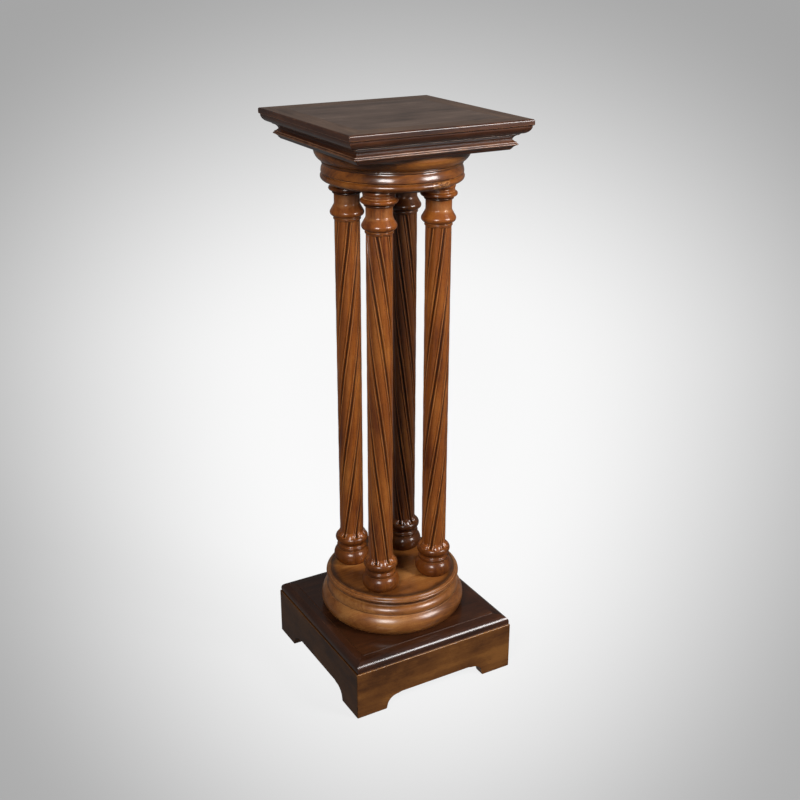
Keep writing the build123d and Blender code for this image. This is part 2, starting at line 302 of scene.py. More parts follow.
def hollow_shade(outline):
    """Painted shade, from 0 up to its most, on each row of a turned outline: it darkens the hollows of the
    profile, where shade falls.
    """
    radius, level = outline[:, 0], outline[:, 1]
    slopes = radius[None, :] - HOLLOW_SLOPE * abs(level[None, :] - level[:, None])
    return SHADE_IN_HOLLOWS * np.clip((slopes.max(axis=1) - radius) / HOLLOW_DEPTH, 0, 1)


FLAT_INNER = 100.0          # the flat faces of a disc begin inside this radius
CHIP_SHARE = 0.6            # the share of a knocked patch that keeps its polish
CHIP_WEAR = 1.3             # bare wood


def turned(name, outline, material, slot, seed, segments=288, along="x", scraped=None):
    """A solid of revolution about Z. The outline runs from the axis at the bottom to the axis at the top.

    Scraped is the azimuth and half-span in degrees, and the top level, of a knocked patch.
    """
    ring = outline[1:-1]
    angles = np.linspace(0, 2 * math.pi, segments, endpoint=False)
    radii = ring[:, :1]
    grid = np.stack([
        radii * np.cos(angles),
        radii * np.sin(angles),
        np.broadcast_to(ring[:, 1:2], (len(ring), segments)),
    ], axis=-1)
    normals = -grid_normals(grid, False, True)
    wear_and_light, dirt_and_shade = edge_fields(grid, normals, False, True)
    rim = ring[:, 0] > FLAT_INNER
    # painted shade in the hollows of the rim joins the field of grime and painted shade
    dirt_and_shade = np.maximum(dirt_and_shade, (rim * hollow_shade(ring))[:, None])
    if scraped:
        chips = np.random.default_rng(seed).uniform(0, 1, wear_and_light.shape)
        azimuth, half_span, top = scraped
        knocked = (abs(np.degrees(angles) - azimuth) < half_span)[None, :] & (ring[:, 1:2] < top)
        wear_and_light = np.where(knocked & (chips > CHIP_SHARE), CHIP_WEAR, wear_and_light)
    poles = np.array([(0, 0, outline[0][1]), (0, 0, outline[-1][1])], float)
    vertices = np.concatenate([grid.reshape(-1, 3), poles])
    faces = grid_faces(len(ring), segments, False, True)
    low, high = len(vertices) - 2, len(vertices) - 1
    last = (len(ring) - 1) * segments
    for number in range(segments):
        beside = (number + 1) % segments
        faces.append((low, beside, number))
        faces.append((high, last + number, last + beside))
    flat = np.zeros(2)
    return make_piece(
        name, vertices, faces, material, slot, name,
        np.r_[wear_and_light.ravel(), flat], np.r_[dirt_and_shade.ravel(), flat], grain_frame(vertices, along, seed))


# ---------------------------------------------------------------- straight work
def swept(name, grid, material, slot, seed, along, crease=30.0, node=None):
    """A piece made of closed cross-sections along its length, with both ends closed."""
    sections, loop = grid.shape[:2]
    normals = -grid_normals(grid, False, True)
    wear_and_light, dirt_and_shade = edge_fields(grid, normals, False, True)
    vertices = grid.reshape(-1, 3)
    faces = [tuple(reversed(face)) for face in grid_faces(sections, loop, False, True)]
    faces.append(tuple(range(loop)))
    faces.append(tuple((sections - 1) * loop + number for number in reversed(range(loop))))
    return make_piece(
        name, vertices, faces, material, slot, node or name,
        wear_and_light.ravel(), dirt_and_shade.ravel(), grain_frame(vertices, along, seed), crease)


SIDE_TURNS = {"front": 0.0, "right": 90.0, "back": 180.0, "left": 270.0}
MITRE_GAP = 0.07            # the open hairline at each mitre of an old frame
WANDER_KNOTS = 9            # places along a moulding where its wander is set


def turn_grid(grid, degrees):
    """Turns grid points about Z."""
    angle = math.radians(degrees)
    spin = np.array([
        [math.cos(angle), -math.sin(angle), 0],
        [math.sin(angle), math.cos(angle), 0],
        [0, 0, 1],
    ])
    return grid @ spin.T


def mitred_frame(stem, loop, material, slot, seed, sections=49, wander=0.0):
    """Four mitred lengths of one moulding, from its closed section as (half-width, z).

    Wander is how far, in mm, the face has been sanded in from place to place.
    """
    knots = np.linspace(-1, 1, WANDER_KNOTS)
    for number, (side, degrees) in enumerate(SIDE_TURNS.items()):
        draw = np.random.default_rng(seed + number)
        share = np.linspace(-1, 1, sections)[:, None]
        reach = loop[None, :, 0] - MITRE_GAP
        drift = wander * np.interp(share[:, 0], knots, draw.uniform(-1, 0, WANDER_KNOTS))[:, None]
        grid = np.stack([
            share * reach,
            -(loop[None, :, 0] + drift) + 0 * share,
            loop[None, :, 1] + 0 * share,
        ], axis=-1)
        grain = "x" if side in ("front", "back") else "y"
        swept(f"{stem}_{side}", turn_grid(grid, degrees), material, slot, seed + number, grain)


# ---------------------------------------------------------------- materials
def srgb(red, green, blue):
    """A colour as it looks on screen (0 to 255), as the linear colour that shaders use."""
    channels = [value / 255 for value in (red, green, blue)]
    return tuple(v / 12.92 if v <= 0.04045 else ((v + 0.055) / 1.055) ** 2.4 for v in channels) + (1.0,)


class Nodes:
    """Short calls that add and link shader nodes."""

    def __init__(self, name):
        self.material = bpy.data.materials.new(name)
        self.material.use_nodes = True
        self.tree = self.material.node_tree
        self.shader = self.tree.nodes["Principled BSDF"]

    def add(self, kind, inputs=(), output=0, **settings):
        node = self.tree.nodes.new(kind)
        for key, value in settings.items():
            setattr(node, key, value)
        for key, value in dict(inputs).items():
            self.set(node.inputs[key], value)
        return node.outputs[output]

    def set(self, socket, value):
        if isinstance(value, bpy.types.NodeSocket):
            self.tree.links.new(value, socket)
        else:
            socket.default_value = value

    def math(self, operation, *values, clamp=False):
        return self.add("ShaderNodeMath", enumerate(values), operation=operation, use_clamp=clamp)

    def vector(self, operation, *values, output=0):
        return self.add("ShaderNodeVectorMath", enumerate(values), output, operation=operation)

    def noise(self, vector, scale, detail=2.0, roughness=0.5, output="Fac"):
        return self.add(
            "ShaderNodeTexNoise",
            {"Vector": vector, "Scale": scale, "Detail": detail, "Roughness": roughness},
            output,
        )

    def stretched(self, position, scale, detail, roughness, output="Fac"):
        """Noise with its own scale along each axis."""
        return self.noise(self.vector("MULTIPLY", position, scale), 1.0, detail, roughness, output)

    def bands(self, value, scale, detail, roughness):
        """Noise that changes with one value only."""
        return self.add(
            "ShaderNodeTexNoise",
            {"W": value, "Scale": scale, "Detail": detail, "Roughness": roughness},
            "Fac", noise_dimensions="1D",
        )

    def ramp(self, value, low, high):
        """0 at low, 1 at high, smooth in between and level beyond."""
        return self.add(
            "ShaderNodeMapRange",
            {"Value": value, "From Min": low, "From Max": high},
            interpolation_type="SMOOTHSTEP",
        )

    def mix(self, share, first, second, blend="MIX"):
        node = self.tree.nodes.new("ShaderNodeMix")
        node.data_type = "RGBA"
        node.blend_type = blend
        for socket, value in ((node.inputs[0], share), (node.inputs[6], first), (node.inputs[7], second)):
            self.set(socket, value)
        return node.outputs[2]

    def bump(self, height, strength, distance, normal=None):
        inputs = {"Height": height, "Strength": strength, "Distance": distance}
        if normal is not None:
            inputs["Normal"] = normal
        return self.add("ShaderNodeBump", inputs)

    def field(self, name, output="Fac"):
        return self.add("ShaderNodeAttribute", {}, output, attribute_name=name)


def grain_position(nodes, along, offset):
    """Wood coordinates of a CAD node, whose mesh keeps no field of its own."""
    position = nodes.add("ShaderNodeTexCoord", {}, "Object")
    split = nodes.add("ShaderNodeSeparateXYZ", {0: position}, 0).node
    order = {"x": "XYZ", "y": "YZX", "z": "ZXY"}[along]
    turned_position = nodes.add("ShaderNodeCombineXYZ", zip("XYZ", (split.outputs[axis] for axis in order)))
    return nodes.vector("ADD", turned_position, offset)


def toned(colour, tone):
    """A colour made darker or lighter."""
    return tuple(tone * channel for channel in colour[:3]) + (1.0,)


# the colour of old wax, and of painted shade, in the hollows
WAX_AND_SHADE_COLOUR = srgb(36, 17, 8)
COAT_IOR = 1.48
WOOD_SPECULAR = 0.08        # the wood itself hardly shines: its polish does

# how close together the features of each noise are, for each metre along and across the grain
WANDER_SCALE = (2.2, 9.0, 9.0)
PITH_SQUASH = (0.06, 1.0, 1.0)
RING_SCALE = 260.0
BROAD_RING_SCALE = 48.0
STREAK_SCALE = (7.0, 150.0, 150.0)
FIBRE_SCALE = (40.0, 1300.0, 1300.0)
PORE_SCALE = (170.0, 2300.0, 2300.0)
CLOUD_SCALE = (9.0, 16.0, 16.0)
PATCH_SCALE = (38.0, 38.0, 38.0)
RIPPLE_SCALE = (45.0, 90.0, 90.0)
KNOCK_SCALE = (95.0, 95.0, 95.0)
SCRATCH_SCALE = (18.0, 900.0, 60.0)
WANDER_REACH = (0.02, 0.045, 0.045)     # metres
PORE_DEPTH = 0.00012
SURFACE_DEPTH = 0.0006


def walnut(
    name, dark, mid, light, worn_and_lit=None, position=None, shine=0.8, haze=0.13, rough=0.42,
    figure=1.0, mottle=1.0, pores=1.0, dents=1.0, scratches=0.0, tone=1.0, dulled=0.0,
    finished_mesh=True,
):
    """Polished walnut: growth rings, fibres, pores, old French polish, edges where the polish is thin and
    pale, painted light on plain necks, and hollows darkened by grime and painted shade.

    Colours are dark, mid and light grain, and worn is the colour of edges where the polish is thin and of
    the painted light on plain necks. Tone below 1 darkens all.
    Dulled is the share of the shine that is lost where grime and painted shade are marked.
    """
    dark, mid, light = (toned(colour, tone) for colour in (dark, mid, light))
    nodes = Nodes(name)
    grain = position(nodes) if position else nodes.field("wood", "Vector")

    # grain coordinates that wander, as a real tree's do
    wander = nodes.stretched(grain, WANDER_SCALE, 3.0, 0.5, "Color")
    centred = nodes.vector("SUBTRACT", wander, (0.5, 0.5, 0.5))
    shift = nodes.vector("MULTIPLY", centred, WANDER_REACH)
    bent = nodes.vector("ADD", grain, shift)

    # growth rings round a far pith, uneven in width
    across = nodes.vector("MULTIPLY", bent, PITH_SQUASH)
    radius = nodes.vector("LENGTH", across, output="Value")
    rings = nodes.bands(radius, RING_SCALE, 3.0, 0.62)
    broad = nodes.bands(radius, BROAD_RING_SCALE, 2.0, 0.5)

    # streaks, fibres and pores, all drawn out along the grain
    streaks = nodes.stretched(bent, STREAK_SCALE, 4.0, 0.6)
    fibres = nodes.stretched(bent, FIBRE_SCALE, 2.0, 0.6)
    pore = nodes.ramp(nodes.stretched(bent, PORE_SCALE, 1.0, 0.5), 0.60, 0.70)
    cloud = nodes.stretched(grain, CLOUD_SCALE, 4.0, 0.55)

    shade = nodes.math("MULTIPLY_ADD", nodes.math("SUBTRACT", rings, 0.5), 0.3 * figure, 0.5)
    for field, weight in (
        (broad, 0.35 * figure), (streaks, 0.4 * figure), (fibres, 0.22), (cloud, 1.1 * mottle),
    ):
        shade = nodes.math("MULTIPLY_ADD", nodes.math("SUBTRACT", field, 0.5), weight, shade)
    colour = nodes.mix(nodes.ramp(shade, 0.2, 0.52), dark, mid)
    colour = nodes.mix(nodes.ramp(shade, 0.48, 0.8), colour, light)
    colour = nodes.mix(nodes.math("MULTIPLY", pore, 0.5 * pores), colour, dark, "MULTIPLY")

    # old polish thin and pale on sharp edges, with painted light on plain necks; hollows darkened by grime
    # and painted shade
    roughness = nodes.math("MULTIPLY_ADD", fibres, 0.18, rough - 0.09)
    if finished_mesh:
        patch = nodes.stretched(grain, PATCH_SCALE, 4.0, 0.62)
        rubbed_and_lit = nodes.ramp(nodes.math("MULTIPLY_ADD", patch, 0.9, nodes.field("wear_and_light")), 0.72, 1.15)
        grime_and_shade = nodes.ramp(nodes.math("MULTIPLY_ADD", patch, 0.3, nodes.field("dirt_and_shade")), 0.3, 0.75)
        # edges where the polish is thin, and the painted light on plain necks, take the worn colour
        colour = nodes.mix(nodes.math("MULTIPLY", rubbed_and_lit, 0.75), colour, worn_and_lit or light)
        # grime and painted shade darken the hollows towards the wax colour
        colour = nodes.mix(nodes.math("MULTIPLY", grime_and_shade, 0.85), colour, WAX_AND_SHADE_COLOUR)
        roughness = nodes.math("MULTIPLY_ADD", rubbed_and_lit, 0.12, roughness)
        if dulled:
            # the polish is duller where grime and painted shade are marked
            dulled_places = nodes.ramp(nodes.field("dirt_and_shade"), 0.05, 0.3)
            shine = nodes.math("MULTIPLY_ADD", dulled_places, -dulled * shine, shine)

    # relief: pores and fibres, slow ripples of the polish, and knocks
    relief = nodes.math("MULTIPLY_ADD", pore, -0.6 * pores, nodes.math("MULTIPLY", fibres, 0.35))
    normal = nodes.bump(relief, 0.35, PORE_DEPTH)
    ripple = nodes.stretched(grain, RIPPLE_SCALE, 2.0, 0.5)
    knocks = nodes.ramp(nodes.stretched(grain, KNOCK_SCALE, 1.0, 0.4), 0.73, 0.82)
    surface = nodes.math("MULTIPLY_ADD", knocks, -0.8 * dents, nodes.math("MULTIPLY", ripple, 0.5))
    normal = nodes.bump(surface, 0.5, SURFACE_DEPTH, normal)
    coat_normal = nodes.bump(surface, 0.4, SURFACE_DEPTH)
    if scratches:
        fine = nodes.stretched(grain, SCRATCH_SCALE, 2.0, 0.7)
        marks = nodes.math("MULTIPLY", nodes.ramp(fine, 0.66, 0.74), scratches)
        roughness = nodes.math("MULTIPLY_ADD", marks, 0.2, roughness)
        colour = nodes.mix(nodes.math("MULTIPLY", marks, 0.35), colour, light)

    for socket, value in (
        ("Base Color", colour), ("Roughness", roughness), ("Normal", normal),
        ("Coat Normal", coat_normal), ("Coat Weight", shine), ("Coat Roughness", haze),
        ("Coat IOR", COAT_IOR), ("Specular IOR Level", WOOD_SPECULAR),
    ):
        nodes.set(nodes.shader.inputs[socket], value)
    return nodes.material


def screw_steel():
    """Dull steel wood screws with brown patches."""
    nodes = Nodes("old_steel")
    position = nodes.add("ShaderNodeTexCoord", {}, "Object")
    patches = nodes.noise(position, 420.0, 4.0, 0.6)
    rust = nodes.ramp(patches, 0.5, 0.68)
    nodes.set(nodes.shader.inputs["Base Color"], nodes.mix(rust, srgb(132, 130, 126), srgb(88, 58, 38)))
    nodes.set(nodes.shader.inputs["Metallic"], nodes.math("SUBTRACT", 1.0, rust))
    nodes.set(nodes.shader.inputs["Roughness"], nodes.math("MULTIPLY_ADD", rust, 0.4, 0.35))
    nodes.set(nodes.shader.inputs["Normal"], nodes.bump(patches, 0.3, 0.0002))
    return nodes.material


def raw_timber(name, along, offset):
    """Unfinished secondary timber: dry, open grained and dusty."""
    return walnut(
        name, srgb(84, 56, 34), srgb(132, 94, 60), srgb(160, 122, 84),
        position=lambda nodes: grain_position(nodes, along, offset),
        shine=0.0, rough=0.78, pores=1.3, dents=0.6, finished_mesh=False,
    )


COLUMN_COLOURS = (srgb(104, 50, 17), srgb(148, 80, 28), srgb(178, 106, 43))
COLUMN_WALNUT = walnut(
    "turned_walnut_columns", *COLUMN_COLOURS,
    worn_and_lit=srgb(196, 132, 76), figure=1.0, mottle=0.9, haze=0.17, dulled=0.55)
# painted shade: the column walnut made darker, for the far column
SHADED_COLUMN_WALNUT = walnut(
    "turned_walnut_painted_shade", *COLUMN_COLOURS,
    worn_and_lit=srgb(150, 92, 48), figure=1.0, mottle=0.9, haze=0.17, tone=0.4, dulled=0.55)
DRUM_WALNUT = walnut(
    "turned_walnut_drum", srgb(110, 62, 24), srgb(152, 92, 42), srgb(182, 122, 64),
    worn_and_lit=srgb(204, 144, 88), figure=1.0, mottle=1.4, haze=0.28)
COLLAR_WALNUT = walnut(
    "turned_walnut_collar", srgb(100, 52, 18), srgb(146, 84, 31), srgb(178, 112, 48),
    worn_and_lit=srgb(204, 144, 88), figure=0.8, mottle=1.3, haze=0.18)
TOP_EDGE_WALNUT = walnut(
    "top_moulding_walnut", srgb(42, 20, 11), srgb(68, 35, 18), srgb(98, 57, 33),
    worn_and_lit=srgb(146, 98, 66), figure=1.0, shine=0.65, haze=0.16)
APRON_COLOURS = (srgb(84, 48, 20), srgb(118, 72, 32), srgb(146, 94, 44))
APRON_WALNUT = walnut(
    "apron_walnut", *APRON_COLOURS,
    worn_and_lit=srgb(196, 142, 88), figure=0.55, mottle=1.5, shine=0.6, haze=0.22)
# painted shade: the apron walnut made darker and duller, for the left and back aprons
SHADED_APRON_WALNUT = walnut(
    "apron_walnut_painted_shade", *APRON_COLOURS,
    worn_and_lit=srgb(120, 80, 48), figure=0.55, mottle=1.3, shine=0.35, haze=0.2, tone=0.5)
BASE_WALNUT = walnut(
    "base_top_walnut", srgb(40, 20, 11), srgb(62, 32, 16), srgb(88, 50, 26),
    worn_and_lit=srgb(140, 90, 54), figure=0.9, haze=0.22)
BASE_PANEL_WALNUT = walnut(
    "base_panel_walnut", srgb(40, 20, 11), srgb(62, 32, 16), srgb(88, 50, 26),
    position=lambda nodes: grain_position(nodes, "x", (1.3, 0.4, 2.1)),
    figure=0.9, haze=0.1, finished_mesh=False)
# the greyish cast of these colours is painted sheen, over the walnut's own colour
FIELD_VENEER = walnut(
    "field_veneer", srgb(76, 58, 48), srgb(108, 86, 73), srgb(132, 108, 93),
    position=lambda nodes: grain_position(nodes, "x", (0.7, 2.4, 1.9)),
    figure=1.2, shine=0.55, haze=0.24, rough=0.5, scratches=1.0, finished_mesh=False)
# the greyish cast of these colours is painted sheen, over the walnut's own colour
CROSSBAND_VENEER = walnut(
    "crossband_veneer", srgb(80, 57, 43), srgb(110, 83, 65), srgb(134, 104, 82),
    worn_and_lit=srgb(150, 112, 84), figure=1.1, shine=0.55, haze=0.24, rough=0.5, scratches=0.8)

# ---------------------------------------------------------------- the drum and the collar
def disc(name, bottom, top, outline, material, seed, scraped=None):
    """A turned disc from its rim outline, closed across the bottom and the top."""
    closed = np.concatenate([[(0.0, bottom)], finished(outline, 0.3), [(0.0, top)]])
    turned(name, closed, material, "turned_walnut", seed, scraped=scraped)


def flat_in(outline, bottom, top, inner=FLAT_INNER):
    """Adds a stretch of flat face at both ends of a rim, so that its corners are eased too."""
    head = np.array([(inner, bottom)])
    tail = np.array([(inner, top)])
    return np.concatenate([head, outline, tail])


disc("drum_lower", BASE_TOP, DRUM_SPLIT, flat_in(profile(
    (126, BASE_TOP),
    ((136, 131), (127, 152)),
    (126, 153),
    (126, DRUM_SPLIT),
), BASE_TOP, DRUM_SPLIT), DRUM_WALNUT, seed=11)

disc("drum_upper", DRUM_SPLIT, DRUM_TOP, flat_in(profile(
    (126, DRUM_SPLIT),
    (126, 157.2),
    ((123.6, 165), (118, 169.4)),
    (117.2, 171.5),
    ((119, 176.2), (123.6, 178.6)),
    ((126.6, 182.2), (123, 185.6)),
    ((120.8, 188.9), (116.2, 189)),
    (115, DRUM_TOP),
), DRUM_SPLIT, DRUM_TOP), DRUM_WALNUT, seed=12)

disc("collar_lower", COLLAR_BOTTOM, COLLAR_SPLIT, flat_in(profile(
    (106.6, COLLAR_BOTTOM),
    (107.4, 930.6),
    ((111.6, 932), (116.8, 934.2)),
    ((121.4, 939.6), (118.8, 944.2)),
    (117.2, 944.9),
    (118.2, 945.9),
    ((119.8, 946.6), (120.2, 948.6)),
    ((119.3, 954.4), (116.8, 959.8)),
    (116.6, COLLAR_SPLIT),
), COLLAR_BOTTOM, COLLAR_SPLIT), COLLAR_WALNUT, seed=13, scraped=(282, 9, 944))

disc("collar_upper", COLLAR_SPLIT, COLLAR_TOP, flat_in(profile(
    (116.6, COLLAR_SPLIT),
    ((119.3, 963.4), (117.8, 965.6)),
    ((126.6, 971.4), (131.5, 981)),
    (131.5, COLLAR_TOP),
), COLLAR_SPLIT, COLLAR_TOP), COLLAR_WALNUT, seed=14)

# ---------------------------------------------------------------- the columns
SHAFT_R = 22.4
FLUTES = 6
FLUTE_BOTTOM = 246.0
FLUTE_TOP = 857.5
SHOULDER_TOP = 254.0
PHASE_LEVEL = 555.0
TWIST_SPAN = 300.0          # the carver's drift is given over this height

# column: node, flute angle at PHASE_LEVEL, twist, its change and the change of that, in degrees, and wood.
# the far column has a darker copy of the column walnut: painted shade
COLUMNS = (
    ("column_front_left", 57.0, (-109.2, -12.0, -3.9), COLUMN_WALNUT),
    ("column_front_right", 44.0, (111.7, -6.2, -2.6), COLUMN_WALNUT),
    ("column_back_left", 25.0, (114.5, -4.5, -2.6), COLUMN_WALNUT),
    ("column_back_right", 54.0, (-104.4, 0.2, -2.6), SHADED_COLUMN_WALNUT),
)

# half a flute's section, from the middle of the groove to the middle of the band: degrees, depth in mm.
# the groove is followed by a bead, a narrow quirk beside it, and the broad band between two flutes
FLUTE_SECTION = (
    (0.0, -2.7), (2.4, -2.6), (4.2, -1.9), (5.6, -0.8), (6.8, -0.2), (8.2, 0.0),
    (9.6, -0.02), (11.2, -0.25), (12.4, -0.85), (13.4, -1.4), (14.8, -1.5), (16.0, -1.1),
    (17.4, -0.7), (19.6, -0.42), (24.0, -0.13), (30.0, 0.0),
)
FLUTE_PITCH = 360 / FLUTES
BEAD_MIDDLE = 8.8           # degrees from the middle of the groove
BEAD_HALF = 1.9
BEAD_RUB = 0.62             # wear on the bead
GROOVE_WAX_AND_SHADE = 0.58           # old wax and painted shade in the groove
QUIRK_WAX_AND_SHADE = 0.42
DARKENED_DEPTH = 1.2           # mm: the darkening begins below this depth
CARVER_KNOTS = 14           # places along a flute where the carver's hand is set
CARVER_DRIFT = 0.45         # degrees
CARVER_UNEVEN = 0.06        # share of the depth
PETAL_HALF_TOP = 19.0       # degrees: half-width of a petal where it leaves the band
PETAL_FLARE = 13.0          # and how much wider its half is at the ring


FOOT_DARKENING = 0.36             # the feet are made darker all over
NECK_PAINTED_LIGHT = 0.42             # painted light: the plain necks are painted paler all round, for the light on them
NECK_BOTTOM = 884.0
NECK_TOP = 905.0


def column_rows():
    """Heights and radii of the turned column, and which rows lie in the fluted stretch."""
    base = finished(profile(
        (24, DRUM_TOP),
        (28, DRUM_TOP),
        ((34.4, 203), (29.2, 217.6)),
        (27.6, 219),
        (28.6, 220.8),
        (28.6, 224.4),
        (27.9, 225.4),
        ((25.6, 229), (27.4, 232.8)),
        ((31, 239.5), (28.5, FLUTE_BOTTOM)),
    ), 0.3, 0.015)
    shoulder = finished(profile(
        (28.5, FLUTE_BOTTOM + 0.2),
        ((26, 250.6), (SHAFT_R, SHOULDER_TOP)),
    ), 0.2, 0.01)
    shaft = [(SHAFT_R, z) for z in np.linspace(SHOULDER_TOP + 1.5, FLUTE_TOP - 0.3, 150)]
    head = finished(profile(
        (SHAFT_R, FLUTE_TOP),
        (SHAFT_R, 859),
        (24, 859.8),
        (24, 862.4),
        (23, 863.4),
        (24.2, 864.8),
        (26.8, 866.2),
        ((29.7, 871.4), (28.2, 876)),
        (23.4, 884.6),
        (SHAFT_R, 887),
        (SHAFT_R, 903.6),
        (23.2, 904.2),
        ((25.4, 906), (23.6, 907.8)),
        (23.4, 908.6),
        (27.5, 909.3),
        ((31.5, 913.2), (27.6, 917.2)),
        (27, 917.8),
        (27, 922),
        (26.3, 922.6),
        (27.2, 923.4),
        ((28.2, 926.2), (27.6, COLLAR_BOTTOM)),
        (24, COLLAR_BOTTOM),
    ), 0.3, 0.015)
    parts = (base, shoulder, np.array(shaft), head)
    fluted = np.concatenate([np.full(len(part), number in (1, 2)) for number, part in enumerate(parts)])
    return np.concatenate(parts), fluted


def flute_angles():
    """Angles round the shaft and the flute depth at each."""
    half = np.array(FLUTE_SECTION)
    other_half = [(FLUTE_PITCH - angle, depth) for angle, depth in half[-2:0:-1]]
    mirrored = np.concatenate([half, other_half])
    angles = np.concatenate([mirrored[:, 0] + FLUTE_PITCH * number for number in range(FLUTES)])
    return angles, np.tile(mirrored[:, 1], FLUTES)


def carvers_hand(draw, levels, mean, spread):
    """How one carved measure varies along the column, as one column of numbers for each flute."""
    knots = np.linspace(FLUTE_BOTTOM, FLUTE_TOP, CARVER_KNOTS)
    rows = [np.interp(levels, knots, draw.normal(mean, spread, CARVER_KNOTS)) for _ in range(FLUTES)]
    return np.stack(rows, axis=1)


def column(name, phase, twist, material, seed):
    """A turned column with spiral flutes, petals above its lower ring, edges where the polish is thin,
    painted light on its plain necks, and hollows darkened by old wax and painted shade.
    """
    draw = np.random.default_rng(seed)
    rows, fluted = column_rows()
    angles, depths = flute_angles()
    radius, level = rows[:, :1], rows[:, 1:2]
    held = np.clip(level, FLUTE_BOTTOM, FLUTE_TOP)
    height = (held - PHASE_LEVEL) / TWIST_SPAN
    turn = phase + twist[0] * height + twist[1] * height**2 + twist[2] * height**3

    # hand work: each groove's depth and place wander a little along its length
    which = np.arange(len(angles)) // (len(angles) // FLUTES)
    wander = carvers_hand(draw, held[:, 0], 0, CARVER_DRIFT)
    deeper = carvers_hand(draw, held[:, 0], 1, CARVER_UNEVEN)

    # petals: under each band the shoulder swells out to the ring, and each groove runs through as a notch
    half_pitch = FLUTE_PITCH / 2
    from_groove = abs((angles + half_pitch) % FLUTE_PITCH - half_pitch)
    from_band = half_pitch - from_groove
    fall = np.clip((SHOULDER_TOP - level) / (SHOULDER_TOP - FLUTE_BOTTOM), 0, 1)
    reach = PETAL_HALF_TOP + PETAL_FLARE * np.sqrt(fall)
    swell = np.sqrt(np.clip(1 - (from_band[None, :] / reach) ** 2, 0, 1))
    carved = SHAFT_R + depths[None, :] * deeper[:, which] + (radius - SHAFT_R) * swell
    radii = np.where(fluted[:, None], carved, radius)
    theta = np.radians(turn + angles[None, :] + wander[:, which])

    low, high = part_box(name)
    centre = (low + high) / 2 / MM
    grid = np.stack([
        centre.x + radii * np.cos(theta),
        centre.y + radii * np.sin(theta),
        level + 0 * theta,
    ], axis=-1)
    normals = -grid_normals(grid, False, True)
    wear_and_light, dirt_and_shade = edge_fields(grid, normals, False, True)
    feet = FOOT_DARKENING * (rows[:, 1] < FLUTE_BOTTOM)
    neck = NECK_PAINTED_LIGHT * ((rows[:, 1] > NECK_BOTTOM) & (rows[:, 1] < NECK_TOP))
    # painted light: the paler necks go into the wear field
    wear_and_light = np.maximum(wear_and_light, neck[:, None])
    # painted shade in the hollows of the profile, and the darker feet, join the field of grime and painted
    # shade
    dirt_and_shade = np.maximum(dirt_and_shade, np.maximum(hollow_shade(rows), feet)[:, None])
    # painted shade with old wax: the deep parts of grooves and quirks are darkened, where shade falls in
    # them
    in_groove = GROOVE_WAX_AND_SHADE * np.clip(-depths - DARKENED_DEPTH, 0, 1)
    in_quirk = QUIRK_WAX_AND_SHADE * (depths < -DARKENED_DEPTH)
    carved_wax_and_shade = np.where(from_groove < BEAD_MIDDLE, in_groove, in_quirk)
    bead = BEAD_RUB * (abs(from_groove - BEAD_MIDDLE) < BEAD_HALF)
    dirt_and_shade = np.where(fluted[:, None], carved_wax_and_shade[None, :], dirt_and_shade)
    wear_and_light = np.where(fluted[:, None], bead[None, :], wear_and_light)
    vertices = grid.reshape(-1, 3)
    faces = grid_faces(len(rows), len(angles), False, True)
    count = len(angles)
    faces.append(tuple(reversed(range(count))))
    faces.append(tuple((len(rows) - 1) * count + number for number in range(count)))
    make_piece(
        name, vertices, faces, material, "turned_walnut", name,
        wear_and_light.ravel(), dirt_and_shade.ravel(), grain_frame(vertices, "z", seed), crease=50.0)


for number, (node, phase, twist, material) in enumerate(COLUMNS):
    column(node, phase, twist, material, seed=21 + number)

# ---------------------------------------------------------------- mouldings round the top and the base
mitred_frame("top_moulding", finished(profile(
    (151.5, 1016.5),
    ((160.4, 1020.2), (164.5, 1027)),
    (164.5, 1029.5),
    (TOP_HALF, 1031),
    (TOP_HALF, HEIGHT - 2.5),
    ((TOP_HALF - 0.75, HEIGHT - 0.75), (TOP_HALF - 2.5, HEIGHT)),
    (LIP_INNER, HEIGHT),
    (LIP_INNER, VENEER_BED),
    (TOP_CORE_HALF, VENEER_BED),
    (TOP_CORE_HALF, CORNICE_TOP),
    (151, CORNICE_TOP),
    (151.5, 1016.5),
), 0.25, 0.012, closed=True)[:-1], TOP_EDGE_WALNUT, "top_moulding_walnut", seed=31, wander=0.25)

mitred_frame("cornice", finished(profile(
    (139.5, COLLAR_TOP),
    (142, 992.6),
    ((144.2, 995.6), (148.7, 998)),
    ((148.9, 1000.1), (147, 1001)),
    ((147.1, 1002.7), (145.4, 1003.4)),
    (141.8, 1006.8),
    ((144.2, 1011.4), (150, 1014.3)),
    (150, CORNICE_TOP),
    (SUB_TOP_HALF, CORNICE_TOP),
    (SUB_TOP_HALF, COLLAR_TOP),
    (139.5, COLLAR_TOP),
), 0.25, 0.012, closed=True)[:-1], TOP_EDGE_WALNUT, "top_moulding_walnut", seed=41, wander=0.15)

mitred_frame("base_moulding", finished(profile(
    (BASE_MOULD_HALF - 1, APRON_TOP),
    (BASE_MOULD_HALF - 1, 95),
    (BASE_MOULD_HALF, 95.5),
    (BASE_MOULD_HALF, 98.5),
    ((161.6, 104.6), (157.4, 108.8)),
    ((155.4, 110.2), (153, BASE_TOP - 1.5)),
    (BASE_PANEL_HALF, BASE_TOP - 0.8),
    (BASE_PANEL_HALF, APRON_TOP),
    (BASE_MOULD_HALF - 1, APRON_TOP),
), 0.3, 0.012, closed=True)[:-1], BASE_WALNUT, "base_top_walnut", seed=51, wander=0.2)

